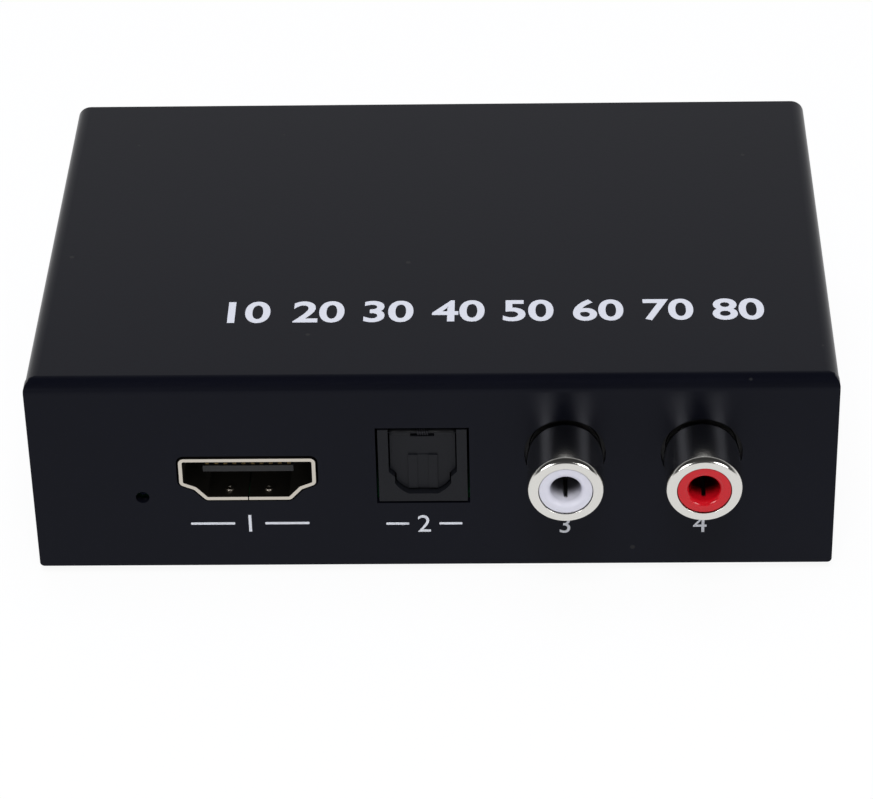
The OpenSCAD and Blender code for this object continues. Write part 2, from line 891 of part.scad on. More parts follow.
module optical_housing() {
    lens_seat = 0.3;
    color([0.08, 0.08, 0.09])
    front_place(optical_x)
        difference() {
            union() {
                block([optical_w, optical_l, optical_h], 0, 0);
                block([optical_w, collar_l, optical_drop + optical_roof], 0, -optical_drop);
            }
            along_y(-cut, cavity_l)
                port_outline(0, port_ceiling_z);
            block([port_w, roof_notch + cut, optical_roof + 2 * cut], -cut, port_ceiling_z - cut);
            translate([-port_w / 2 - pin_reach - seat_gap, hinge_y, hinge_z])
                rotate([0, 90, 0])
                    cylinder(d = shutter_pin_d + 2 * seat_gap, h = port_w + 2 * (pin_reach + seat_gap));
            rod(ferrule_d, cavity_l - cut, pocket_y + cut, ferrule_z);
            block([emitter_w + 4 * seat_gap, optical_l - pocket_y + cut, emitter_h + seat_gap + cut],
                  pocket_y, -cut);
        }
}

// Shutter: plate, hinge roll with its pins, and the raised pad that the plug pushes
module optical_shutter() {
    roll_w = port_w - 2 * shutter_gap;
    color([0.09, 0.09, 0.1])
    front_place(optical_x)
        union() {
            difference() {
                union() {
                    along_y(shutter_set, shutter_set + shutter_t)
                        port_outline(-shutter_gap, hinge_z);
                    translate([-roll_w / 2, hinge_y, hinge_z])
                        rotate([0, 90, 0])
                            cylinder(r = hinge_r, h = roll_w);
                    difference() {
                        block([pad_w, pad_t + shutter_t / 2, pad_h], shutter_set - pad_t,
                              port_lift + pad_low);
                        block([pad_groove_w, pad_groove_t + cut, pad_h + 2 * cut],
                              shutter_set - pad_t - cut, port_lift + pad_low - cut);
                    }
                }
                block([spring_bay_w, shutter_t + 2 * hinge_r, 2 * hinge_r], shutter_set - cut,
                      hinge_z - hinge_r);
                block([spring_bay_w, spring_bay_t + cut, spring_bay_h + hinge_r],
                      shutter_set + shutter_t - spring_bay_t, hinge_z - spring_bay_h);
            }
            translate([-port_w / 2 - pin_reach, hinge_y, hinge_z])
                rotate([0, 90, 0])
                    cylinder(d = shutter_pin_d, h = port_w + 2 * pin_reach);
        }
}

// Centre line of the shutter's spring: a leg down the shutter, the turns, a leg to the roof
spring_steps = 12;
spring_line = concat(
    [[-spring_w / 2, spring_mean_r, -spring_leg], [-spring_w / 2, spring_mean_r, -spring_leg / 2]],
    [
        for (i = [0:spring_turns * spring_steps + spring_steps * 3 / 4])
            let (a = 360 * i / spring_steps, full = spring_turns * spring_steps + spring_steps * 3 / 4)
                [spring_w * (i / full - 1 / 2), spring_mean_r * cos(a), spring_mean_r * sin(a)]
    ],
    [
        for (s = [[0.3, -0.9], [0.5, 0], [0.7, 0.75], [1, 1]])
            [spring_w / 2, s[0] * spring_leg, s[1] * spring_mean_r]
    ]
);

// A thin round wire along a line of points that winds about the x axis
module wire(line, d, sides = 6) {
    n = len(line);
    ahead = [for (i = [0:n - 1]) line[min(i + 1, n - 1)] - line[max(i - 1, 0)]];
    rings = [
        for (i = [0:n - 1])
            let (t = ahead[i] / norm(ahead[i]), u0 = cross(t, [1, 0, 0]), u = u0 / norm(u0), v = cross(t, u))
                for (k = [0:sides - 1])
                    line[i] + d / 2 * (cos(360 * k / sides) * u + sin(360 * k / sides) * v)
    ];
    skin = [
        for (i = [0:n - 2], k = [0:sides - 1])
            let (a = i * sides + k, b = i * sides + (k + 1) % sides)
                each [[a, a + sides, b], [b, a + sides, b + sides]]
    ];
    ends = [
        [for (k = [0:sides - 1]) k],
        [for (k = [0:sides - 1]) n * sides - 1 - k]
    ];
    polyhedron(concat(rings), concat(skin, ends));
}

module optical_shutter_spring() {
    color([0.7, 0.7, 0.72])
    front_place(optical_x)
        translate([0, hinge_y, hinge_z])
            wire(spring_line, spring_wire_d);
}

// Light source behind the port, in its pocket
module optical_emitter() {
    color([0.2, 0.2, 0.24])
    front_place(optical_x) {
        block([emitter_w, emitter_l, emitter_h], pocket_y + seat_gap, 0);
        rod(emitter_lens_d, pocket_y + seat_gap - emitter_lens_l, pocket_y + 2 * seat_gap, ferrule_z);
    }
}

module optical_leads() {
    color([0.8, 0.8, 0.78])
    front_place(optical_x)
        optical_lead_set(0);
}

// Ground tab of a phono barrel and tail of its centre contact, both down through the board
module ground_tab(grow) {
    block([ground_tab_w + 2 * grow, ground_tab_t + 2 * grow,
           board_t + leg_end + phono_rise - (barrel_root_d + insert_d) / 4],
          ground_tab_y - grow, -board_t - leg_end);
}

module signal_tail(grow) {
    block([signal_tail_w + 2 * grow, signal_tail_t + 2 * grow,
           board_t + leg_end + phono_rise - (socket_d + socket_bore_d) / 4],
          signal_tail_y - grow, -board_t - leg_end);
}

module phono_body() {
    difference() {
        block([phono_body_w, phono_body_l, phono_body_h], phono_body_y, 0);
        rod(barrel_root_d + 2 * seat_gap, 0, barrel_end_y + seat_gap, phono_rise);
        rod(insert_d + 2 * seat_gap, 0, insert_end_y + seat_gap, phono_rise);
        rod(socket_d + 2 * seat_gap, 0, contact_end_y + seat_gap, phono_rise);
        ground_tab(seat_gap);
        signal_tail(seat_gap);
    }
}

// Barrel: a tube with a rounded lip at its free end and a thinner root behind the panel
module phono_barrel() {
    inner_r = insert_d / 2 + insert_gap;
    outer_r = phono_d / 2;
    barrel_l = phono_out + barrel_end_y;
    difference() {
        union() {
            translate([0, barrel_end_y, phono_rise])
                rotate([90, 0, 0])
                    rotate_extrude()
                        difference() {
                            translate([inner_r, 0])
                                square([outer_r - inner_r, barrel_l]);
                            translate([barrel_root_d / 2, -cut])
                                square([outer_r, barrel_end_y + barrel_step_y + cut]);
                            translate([outer_r - phono_lip_r, barrel_l - phono_lip_r])
                                corner_waste(phono_lip_r, 1, 1);
                        }
            ground_tab(0);
        }
        rod(2 * inner_r, -phono_out - cut, barrel_end_y + cut, phono_rise);
    }
}

// Coloured insert: a tube with a rounded mouth and a slot for the contact's leaf
module phono_insert() {
    bore_r = insert_bore_d / 2;
    insert_l = phono_out - insert_set + insert_end_y;
    difference() {
        translate([0, insert_end_y, phono_rise])
            rotate([90, 0, 0])
                rotate_extrude()
                    difference() {
                        translate([bore_r, 0])
                            square([insert_d / 2 - bore_r, insert_l]);
                        translate([bore_r + insert_mouth_r, insert_l - insert_mouth_r])
                            corner_waste(insert_mouth_r, -1, 1);
                    }
        block([insert_slot_w, insert_l, bore_r + insert_slot_h],
              insert_end_y - insert_l + insert_slot_set, phono_rise - bore_r - insert_slot_h);
    }
}

// Centre contact: a ring behind the insert, a leaf in the insert's slot and a tail
module phono_contact() {
    leaf_z = phono_rise - insert_bore_d / 2 - insert_slot_h + contact_gap;
    leaf_y = insert_set + insert_slot_set + insert_slot_h - phono_out;
    difference() {
        union() {
            rod(socket_d, insert_end_y + seat_gap, contact_end_y, phono_rise);
            signal_tail(0);
            block([leaf_w, insert_end_y + 2 * seat_gap - leaf_y, leaf_t], leaf_y, leaf_z);
        }
        rod(socket_bore_d, insert_end_y - cut, contact_end_y + cut, phono_rise);
    }
}

module phono_left_body() {
    color([0.07, 0.07, 0.08])
    front_place(phono_left_x)
        phono_body();
}

module phono_left_barrel() {
    color([0.78, 0.78, 0.76])
    front_place(phono_left_x)
        phono_barrel();
}

module phono_left_insert() {
    color([0.85, 0.84, 0.9])
    front_place(phono_left_x)
        phono_insert();
}

module phono_left_contact() {
    color([0.75, 0.73, 0.65])
    front_place(phono_left_x)
        phono_contact();
}

module phono_right_body() {
    color([0.07, 0.07, 0.08])
    front_place(phono_right_x)
        phono_body();
}

module phono_right_barrel() {
    color([0.78, 0.78, 0.76])
    front_place(phono_right_x)
        phono_barrel();
}

module phono_right_insert() {
    color([0.8, 0.12, 0.15])
    front_place(phono_right_x)
        phono_insert();
}

module phono_right_contact() {
    color([0.75, 0.73, 0.65])
    front_place(phono_right_x)
        phono_contact();
}

// Tails of the power jack's pin and leaf
module power_pin_tail(grow) {
    block([power_tail_w + 2 * grow, power_tail_t + 2 * grow, board_t + leg_end + power_rise],
          power_y + power_l + seat_gap - grow, -board_t - leg_end);
}

module power_leaf_tail(grow) {
    block([power_tail_w + 2 * grow, power_tail_t + 2 * grow,
           board_t + leg_end + power_rise - power_bore_d / 2 - power_leaf_t],
          power_y + leaf_slot_y + leaf_slot_l / 2 - grow, -board_t - leg_end);
}

// Power jack: a block with a round back and a bore for the plug
module power_jack_body() {
    color([0.06, 0.06, 0.07])
    back_place(power_x)
        difference() {
            union() {
                block([power_w, power_l, power_rise], power_y, 0);
                rod(power_w, power_y, power_y + power_l, power_rise);
            }
            rod(power_bore_d, power_y - cut, power_y + power_bore_l, power_rise);
            rod(power_root_d + 2 * seat_gap, power_y, power_y + power_l + cut, power_rise);
            block([leaf_slot_w, leaf_slot_l, power_rise + cut], power_y + leaf_slot_y, -cut);
        }
}

module power_jack_pin() {
    color([0.8, 0.79, 0.75])
    back_place(power_x)
        union() {
            rod(power_pin_d, power_y + power_pin_front, power_y + power_l, power_rise);
            rod(power_root_d, power_y + power_bore_l, power_y + power_l + seat_gap + power_tail_t,
                power_rise);
            power_pin_tail(0);
        }
}

module power_jack_spring() {
    color([0.78, 0.72, 0.5])
    back_place(power_x)
        union() {
            block([power_tail_w, leaf_slot_l - 4 * seat_gap, power_leaf_t],
                  power_y + leaf_slot_y + 2 * seat_gap,
                  power_rise - power_bore_d / 2 - power_leaf_t);
            power_leaf_tail(0);
        }
}

// The slot in which the knob slides, in the frame and in the panel
module knob_slot(y0, y1) {
    slot_w = knob_w + 2 * (switch_throw + knob_clear);
    slot_h = knob_h + 2 * knob_clear;
    block([slot_w, y1 - y0, slot_h], y0, (switch_h - slot_h) / 2);
}

module switch_terminal_tails(grow) {
    for (i = [0:terminal_count - 1])
        block([terminal_w + 2 * grow, terminal_t + 2 * grow,
               board_t + leg_end + (switch_h + terminal_t) / 2],
              switch_end_y + seat_gap - grow, -board_t - leg_end,
              (i - (terminal_count - 1) / 2) * terminal_pitch);
}

module switch_frame_legs(grow) {
    for (side = [-1, 1])
        block([frame_leg_w + 2 * grow, frame_t + 2 * grow, board_t + leg_end + switch_h / 2],
              frame_y - grow, -board_t - leg_end, side * (switch_w - frame_leg_w) / 2);
}

// Moulded base of the switch, with two end walls that stop the slider
module mode_switch_base() {
    base_h = switch_h - 2 * (frame_t + seat_gap);
    color([0.12, 0.1, 0.08])
    back_place(mode_x)
        difference() {
            union() {
                block([switch_w, switch_base_l, base_h], switch_base_y, frame_t + seat_gap);
                for (side = [-1, 1])
                    block([switch_end_w, switch_end_y - frame_y - frame_t - seat_gap, base_h],
                          frame_y + frame_t + seat_gap, frame_t + seat_gap,
                          side * (switch_w - switch_end_w) / 2);
            }
            for (i = [0:terminal_count - 1])
                block([terminal_w + 2 * contact_gap, switch_base_l + 2 * cut, terminal_t + 2 * contact_gap],
                      switch_base_y - cut, (switch_h - terminal_t) / 2 - contact_gap,
                      (i - (terminal_count - 1) / 2) * terminal_pitch);
        }
}

// Folded frame over the base, with the slot for the knob and two legs
module mode_switch_frame() {
    frame_l = switch_end_y - frame_y;
    color([0.76, 0.76, 0.75])
    back_place(mode_x)
        union() {
            difference() {
                block([switch_w, frame_l, switch_h], frame_y, 0);
                block([switch_w + 2 * cut, frame_l, switch_h - 2 * frame_t], frame_y + frame_t, frame_t);
                knob_slot(frame_y - cut, frame_y + frame_t + cut);
            }
            switch_frame_legs(0);
        }
}

// Slider: the knob on its carriage
module mode_switch_slider() {
    recess = bridge_t + 2 * seat_gap;
    color([0.05, 0.05, 0.06])
    back_place(mode_x)
        difference() {
            union() {
                block([slider_w, slider_l, slider_h], slider_y, (switch_h - slider_h) / 2);
                block([knob_w, slider_y + knob_out + slider_l / 2, knob_h], -knob_out,
                      (switch_h - knob_h) / 2);
            }
            block([bridge_w + 4 * seat_gap, recess + cut, bridge_h + 4 * seat_gap],
                  slider_y + slider_l - recess, (switch_h - bridge_h) / 2 - 2 * seat_gap);
        }
}

// Contact bridge in the back of the slider
module mode_switch_bridge() {
    color([0.82, 0.66, 0.35])
    back_place(mode_x)
        block([bridge_w, bridge_t, bridge_h], slider_y + slider_l - bridge_t - seat_gap,
              (switch_h - bridge_h) / 2);
}

module mode_switch_terminals() {
    color([0.8, 0.79, 0.75])
    back_place(mode_x)
        union() {
            for (i = [0:terminal_count - 1])
                block([terminal_w, switch_base_l + seat_gap + terminal_t / 2, terminal_t],
                      switch_base_y, (switch_h - terminal_t) / 2,
                      (i - (terminal_count - 1) / 2) * terminal_pitch);
            switch_terminal_tails(0);
        }
}

// Status light at the edge of the board, behind its pinhole
module status_led() {
    color([0.9, 0.9, 0.88])
    front_place(led_x)
        block(led_size, board_setback, 0);
}

module status_led_lens() {
    color([0.5, 0.7, 0.95])
    front_place(led_x)
        rod(led_lens_d, board_setback - led_lens_l, board_setback, led_size[2] / 2);
}

// Puts a part at its share of the board's width and depth
module on_board(shares) {
    translate([shares[0] * board_w, mid_y + shares[1] * board_d, board_top_z])
        children();
}

// Flat leads along the two long sides of a chip
module chip_leads(size, count, pitch, lead) {
    for (side = [-1, 1], i = [0:count - 1])
        translate([(i - (count - 1) / 2) * pitch, side * (size[1] / 2 - lead_under + lead[1] / 2), 0])
            translate([-lead[0] / 2, -lead[1] / 2, 0])
                cube([lead[0], lead[1], chip_lift]);
}

module chip_body(size) {
    translate([-size[0] / 2, -size[1] / 2, chip_lift])
        cube([size[0], size[1], chip_t]);
}

module main_chip() {
    color([0.07, 0.07, 0.08])
    on_board(main_chip_shares)
        chip_body([main_chip_w, main_chip_w]);
}

module main_chip_leads() {
    color([0.75, 0.75, 0.75])
    on_board(main_chip_shares)
        for (turn = [0, 90])
            rotate([0, 0, turn])
                chip_leads([main_chip_w, main_chip_w], main_lead_count,
                           main_lead_pitch_share * main_chip_w, main_lead_size);
}

module audio_chip() {
    color([0.07, 0.07, 0.08])
    on_board(audio_chip_shares)
        chip_body(audio_chip_size);
}

module audio_chip_leads() {
    color([0.75, 0.75, 0.75])
    on_board(audio_chip_shares)
        chip_leads(audio_chip_size, 8, chip_lead_pitch, chip_lead_size);
}

module memory_chip() {
    color([0.07, 0.07, 0.08])
    on_board(memory_chip_shares)
        chip_body(memory_chip_size);
}

module memory_chip_leads() {
    color([0.75, 0.75, 0.75])
    on_board(memory_chip_shares)
        chip_leads(memory_chip_size, 4, chip_lead_pitch, chip_lead_size);
}

// Crystal in its tall metal can
module clock_crystal() {
    color([0.8, 0.8, 0.8])
    on_board(crystal_shares)
        for (end = [-1, 1])
            union() {
                translate([0, end * (crystal_size[1] - crystal_size[0]) / 2, 0])
                    cylinder(d = crystal_size[0], h = crystal_size[2]);
                translate([-crystal_size[0] / 2, min(0, end * (crystal_size[1] - crystal_size[0]) / 2), 0])
                    cube([crystal_size[0], (crystal_size[1] - crystal_size[0]) / 2, crystal_size[2]]);
            }
}

module regulators() {
    color([0.08, 0.08, 0.09])
    for (s = regulator_shares)
        on_board(s)
            translate([-regulator_size[0] / 2, -regulator_size[1] / 2, 0])
                cube(regulator_size);
}

module regulator_tabs() {
    color([0.75, 0.75, 0.75])
    for (s = regulator_shares)
        on_board(s)
            translate([-regulator_tab_size[0] / 2, regulator_size[1] / 2, 0])
                cube(regulator_tab_size);
}

module power_inductor() {
    color([0.25, 0.25, 0.27])
    on_board(inductor_shares)
        linear_extrude(inductor_size[2])
            polygon([
                for (turn = [0:3], s = [-1, 1])
                    let (half = inductor_size[0] / 2, a = 90 * turn, y = s * (half - inductor_corner))
                        [half * cos(a) - y * sin(a), half * sin(a) + y * cos(a)]
            ]);
}

// Aluminium cans on their moulded bases
module filter_capacitors() {
    color([0.8, 0.8, 0.82])
    for (s = can_shares)
        on_board(s)
            translate([0, 0, can_base_t])
                cylinder(d = can_d, h = can_h - can_base_t);
}

module capacitor_bases() {
    base = can_d + can_base_grow;
    color([0.06, 0.06, 0.07])
    for (s = can_shares)
        on_board(s)
            translate([-base / 2, -base / 2, 0])
                cube([base, base, can_base_t]);
}

module small_parts(shares, size) {
    for (s = shares)
        on_board(s)
            translate([-size[0] / 2, -size[1] / 2, 0])
                cube(size);
}

module chip_capacitors() {
    color([0.6, 0.5, 0.38])
    small_parts(chip_capacitor_shares, chip_part_size);
}

module chip_resistors() {
    color([0.1, 0.1, 0.1])
    small_parts(chip_resistor_shares, chip_part_size);
}

// Surge arrays beside each video socket
module protection_arrays() {
    color([0.09, 0.09, 0.1])
    video_places()
        for (y = protection_ys)
            block(protection_size, y, 0, protection_x);
}

top_cover();
base_tray();
case_screws();
rubber_feet();
main_board();
board_standoffs();
board_screws();
video_out_shell();
video_out_insulator();
video_out_contacts();
video_in_shell();
video_in_insulator();
video_in_contacts();
optical_housing();
optical_shutter();
optical_shutter_spring();
optical_emitter();
optical_leads();
phono_left_body();
phono_left_barrel();
phono_left_insert();
phono_left_contact();
phono_right_body();
phono_right_barrel();
phono_right_insert();
phono_right_contact();
power_jack_body();
power_jack_pin();
power_jack_spring();
mode_switch_base();
mode_switch_frame();
mode_switch_slider();
mode_switch_bridge();
mode_switch_terminals();
status_led();
status_led_lens();
main_chip();
main_chip_leads();
audio_chip();
audio_chip_leads();
memory_chip();
memory_chip_leads();
clock_crystal();
regulators();
regulator_tabs();
power_inductor();
filter_capacitors();
capacitor_bases();
chip_capacitors();
chip_resistors();
protection_arrays();
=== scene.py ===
"""Looks of a small black audio extractor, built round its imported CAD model.

Lengths are in metres, as in the frame.
"""
import math

import bmesh
import bpy
from mathutils import Matrix, Vector


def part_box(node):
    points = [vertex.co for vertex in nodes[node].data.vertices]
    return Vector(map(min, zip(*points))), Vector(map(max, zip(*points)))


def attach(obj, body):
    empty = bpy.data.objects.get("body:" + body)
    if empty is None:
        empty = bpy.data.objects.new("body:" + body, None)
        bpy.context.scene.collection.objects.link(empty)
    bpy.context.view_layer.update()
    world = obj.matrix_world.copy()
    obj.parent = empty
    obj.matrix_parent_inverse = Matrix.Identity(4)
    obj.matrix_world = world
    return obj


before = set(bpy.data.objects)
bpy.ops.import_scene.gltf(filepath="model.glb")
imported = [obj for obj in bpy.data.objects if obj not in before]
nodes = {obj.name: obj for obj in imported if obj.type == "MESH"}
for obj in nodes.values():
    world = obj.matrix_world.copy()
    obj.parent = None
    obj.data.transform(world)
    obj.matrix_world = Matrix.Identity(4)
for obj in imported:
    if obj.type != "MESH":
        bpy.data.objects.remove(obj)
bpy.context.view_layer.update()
MM = 0.001

# Studio.
# A pale floor without an edge, two low soft lamps that only gloss shows, one lamp in front and
# one above that only light matt skins, and white surroundings that turn dark over the lens.
case_low, case_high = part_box("top_cover")
front_y = case_low.y
VIEW_YAW = math.radians(-1.8267)
VIEW_PITCH = math.radians(34.3774)
VIEW_ROLL = math.radians(-1.4004)
VIEW_OFFSET = (-0.631 * MM, -18.27 * MM, 394.065 * MM)
FOCAL_PIXELS = 3543.3
PICTURE_WIDTH = 873
SENSOR = 36.0
NEAREST, FARTHEST = 0.01, 50
LAMP_DISTANCE = 0.9
ROOM_DARK_TOWARD = (0, -0.57, 0.82)
ROOM_FADE = (-0.06, 0.45)
ROOM_TONES = (0.86, 0.04)
ROOM_LIGHT = 0.46
FLOOR_HALF = 4.0
FLOOR_TONE = 0.85
FLOOR_GLOW = 0.93


def place_camera():
    """Stands the camera where the photograph was taken from.

    Its place is measured from the middle of the case's lower front edge.
    """
    c, s = math.cos(VIEW_PITCH), math.sin(VIEW_PITCH)
    tx, ty, tz = VIEW_OFFSET
    right, up, ahead = Vector((1, 0, 0)), Vector((0, s, c)), Vector((0, c, -s))
    place = -tx * right - ty * up - tz * ahead
    rolled_right = math.cos(VIEW_ROLL) * right + math.sin(VIEW_ROLL) * up
    rolled_up = math.cos(VIEW_ROLL) * up - math.sin(VIEW_ROLL) * right
    turn = Matrix.Rotation(-VIEW_YAW, 3, "Z")
    axes = Matrix((turn @ rolled_right, turn @ rolled_up, turn @ -ahead)).transposed()
    camera = bpy.data.objects.new("camera", bpy.data.cameras.new("camera"))
    bpy.context.scene.collection.objects.link(camera)
    corner = Vector((0, front_y, case_low.z))
    camera.matrix_world = Matrix.Translation(turn @ place + corner) @ axes.to_4x4()
    camera.data.sensor_width = SENSOR
    camera.data.lens = FOCAL_PIXELS / PICTURE_WIDTH * SENSOR
    camera.data.clip_start, camera.data.clip_end = NEAREST, FARTHEST
    bpy.context.scene.camera = camera


def softbox(name, direction, size, watts, tint=(1, 1, 1), mirrored=True, lighting=True):
    """A square lamp that stands in that direction from the object and faces it.

    Gloss mirrors it only if mirrored, and it lights matt skins only if lighting.
    """
    lamp = bpy.data.lights.new(name, "AREA")
    lamp.shape, lamp.size = "SQUARE", size
    lamp.energy, lamp.color = watts, tint
    stand = bpy.data.objects.new(name, lamp)
    stand.location = Vector(direction).normalized() * LAMP_DISTANCE
    stand.rotation_euler = (-stand.location).to_track_quat("-Z", "Y").to_euler()
    stand.visible_glossy, stand.visible_diffuse = mirrored, lighting
    bpy.context.scene.collection.objects.link(stand)


def seen_directly(nt):
    """1 on camera, glossy and transmission rays, which show the background itself."""
    path = nt.nodes.new("ShaderNodeLightPath")
    found = path.outputs["Is Camera Ray"]
    for ray in (path.outputs["Is Glossy Ray"], path.outputs["Is Transmission Ray"]):
        either = nt.nodes.new("ShaderNodeMath")
        either.operation = "MAXIMUM"
        nt.links.new(found, either.inputs[0])
        nt.links.new(ray, either.inputs[1])
        found = either.outputs[0]
    return found, path


def paint_world():
    """White behind the object, a dark room round the lens in reflections, plain grey as light."""
    world = bpy.data.worlds.new("studio")
    bpy.context.scene.world = world
    world.use_nodes = True
    nt = world.node_tree
    nt.nodes.clear()
    direct, path = seen_directly(nt)
    place = nt.nodes.new("ShaderNodeTexCoord")
    toward = nt.nodes.new("ShaderNodeVectorMath")
    toward.operation = "DOT_PRODUCT"
    toward.inputs[1].default_value = ROOM_DARK_TOWARD
    room = nt.nodes.new("ShaderNodeMapRange")
    room.interpolation_type = "SMOOTHSTEP"
    room.inputs["From Min"].default_value, room.inputs["From Max"].default_value = ROOM_FADE
    room.inputs["To Min"].default_value, room.inputs["To Max"].default_value = ROOM_TONES
    glossy = nt.nodes.new("ShaderNodeMix")
    glossy.inputs["A"].default_value = 1.0
    mirrored = nt.nodes.new("ShaderNodeBackground")
    lit = nt.nodes.new("ShaderNodeBackground")
    lit.inputs["Strength"].default_value = ROOM_LIGHT
    choose = nt.nodes.new("ShaderNodeMixShader")
    out = nt.nodes.new("ShaderNodeOutputWorld")
    nt.links.new(place.outputs["Generated"], toward.inputs[0])
    nt.links.new(toward.outputs["Value"], room.inputs["Value"])
    nt.links.new(path.outputs["Is Glossy Ray"], glossy.inputs["Factor"])
    nt.links.new(room.outputs["Result"], glossy.inputs["B"])
    nt.links.new(glossy.outputs["Result"], mirrored.inputs["Strength"])
    nt.links.new(direct, choose.inputs["Fac"])
    nt.links.new(lit.outputs[0], choose.inputs[1])
    nt.links.new(mirrored.outputs[0], choose.inputs[2])
    nt.links.new(choose.outputs[0], out.inputs["Surface"])
    for background in (mirrored, lit):
        background.inputs["Color"].default_value = (1, 1, 1, 1)


def lay_floor():
    """A white sweep under the object that keeps a faint shadow."""
    mesh = bpy.data.meshes.new("floor")
    h = FLOOR_HALF
    mesh.from_pydata([(-h, -h, 0), (h, -h, 0), (h, h, 0), (-h, h, 0)], [], [(0, 1, 2, 3)])
    floor = bpy.data.objects.new("floor", mesh)
    bpy.context.scene.collection.objects.link(floor)
    paper = bpy.data.materials.new("white_paper")
    paper.use_nodes = True
    nt = paper.node_tree
    nt.nodes.clear()
    direct, _ = seen_directly(nt)
    share = nt.nodes.new("ShaderNodeMath")
    share.operation = "MULTIPLY"
    share.inputs[1].default_value = FLOOR_GLOW
    diffuse = nt.nodes.new("ShaderNodeBsdfDiffuse")
    diffuse.inputs["Color"].default_value = (FLOOR_TONE, FLOOR_TONE, FLOOR_TONE, 1)
    glow = nt.nodes.new("ShaderNodeEmission")
    glow.inputs["Color"].default_value = (1, 1, 1, 1)
    mix = nt.nodes.new("ShaderNodeMixShader")
    out = nt.nodes.new("ShaderNodeOutputMaterial")
    nt.links.new(direct, share.inputs[0])
    nt.links.new(share.outputs[0], mix.inputs["Fac"])
    nt.links.new(diffuse.outputs[0], mix.inputs[1])
    nt.links.new(glow.outputs[0], mix.inputs[2])
    nt.links.new(mix.outputs[0], out.inputs["Surface"])
    mesh.materials.append(paper)


place_camera()
softbox("lamp_left", (-0.49, -0.82, 0.3), 0.26, 2.6, lighting=False)
softbox("lamp_right", (0.49, -0.82, 0.3), 0.26, 2.2, lighting=False)
softbox("lamp_front", (0, -0.52, 0.86), 0.3, 5.4, tint=(0.96, 0.97, 1.0), mirrored=False)
softbox("lamp_above", (0, 0.1, 1), 0.5, 2.4, tint=(0.68, 0.71, 1.0), mirrored=False)
paint_world()
lay_floor()
bpy.context.scene.view_settings.view_transform = "Standard"

# Cover and base.
# Steel sheet 1 mm thick, sheared, folded and sprayed with a fine satin black powder.
# The cover slides on from the front and is screwed to the tabs of the base.
DUST_PATCHES = 90.0
DUST_FROM = 0.6
RELIEF_DEPTH = 0.1 * MM
WELD_WITHIN = 0.001 * MM
FLAT_WITHIN = math.radians(0.5)
ROUND_OVER = math.radians(40)


def socket_group(name, inputs, outputs):
    """An empty shader group with float inputs (name, value) and outputs (name, kind)."""
    group = bpy.data.node_groups.new(name, "ShaderNodeTree")
    for label, value in inputs:
        socket = group.interface.new_socket(label, in_out="INPUT", socket_type="NodeSocketFloat")
        socket.default_value = value
    for label, kind in outputs:
        group.interface.new_socket(label, in_out="OUTPUT", socket_type=kind)
    return group, group.nodes.new("NodeGroupInput"), group.nodes.new("NodeGroupOutput")


def grain_group():
    """Fine grain of a sprayed, moulded or plated skin: its height, and a slow drift of tone."""
    group, given, made = socket_group(
        "skin_grain", [("Grain Scale", 3000.0), ("Drift Scale", 60.0)],
        [("Height", "NodeSocketFloat"), ("Drift", "NodeSocketFloat")])
    n, link = group.nodes, group.links.new
    place = n.new("ShaderNodeTexCoord")
    for scale, out, detail in (("Grain Scale", "Height", 3.0), ("Drift Scale", "Drift", 2.0)):
        noise = n.new("ShaderNodeTexNoise")
        noise.inputs["Detail"].default_value = detail
        link(place.outputs["Object"], noise.inputs["Vector"])
        link(given.outputs[scale], noise.inputs["Scale"])
        link(noise.outputs["Fac"], made.inputs[out])
    return group


def speck_group():
    """Dust and lint that has settled on a dark skin: a mask of sparse small specks."""
    group, given, made = socket_group(
        "settled_dust", [("Speck Scale", 260.0), ("Speck Size", 0.07)], [("Mask", "NodeSocketFloat")])
    n, link = group.nodes, group.links.new
    place = n.new("ShaderNodeTexCoord")
    cells = n.new("ShaderNodeTexVoronoi")
    spread = n.new("ShaderNodeTexNoise")
    spread.inputs["Scale"].default_value = DUST_PATCHES
    near = n.new("ShaderNodeMath")
    near.operation = "LESS_THAN"
    where = n.new("ShaderNodeMath")
    where.operation = "GREATER_THAN"
    where.inputs[1].default_value = DUST_FROM
    both = n.new("ShaderNodeMath")
    both.operation = "MULTIPLY"
    for texture in (cells, spread):
        link(place.outputs["Object"], texture.inputs["Vector"])
    link(given.outputs["Speck Scale"], cells.inputs["Scale"])
    link(cells.outputs["Distance"], near.inputs[0])
    link(given.outputs["Speck Size"], near.inputs[1])
    link(spread.outputs["Fac"], where.inputs[0])
    link(near.outputs[0], both.inputs[0])
    link(where.outputs[0], both.inputs[1])
    link(both.outputs[0], made.inputs["Mask"])
    return group


SKIN_GRAIN = grain_group()
SETTLED_DUST = speck_group()


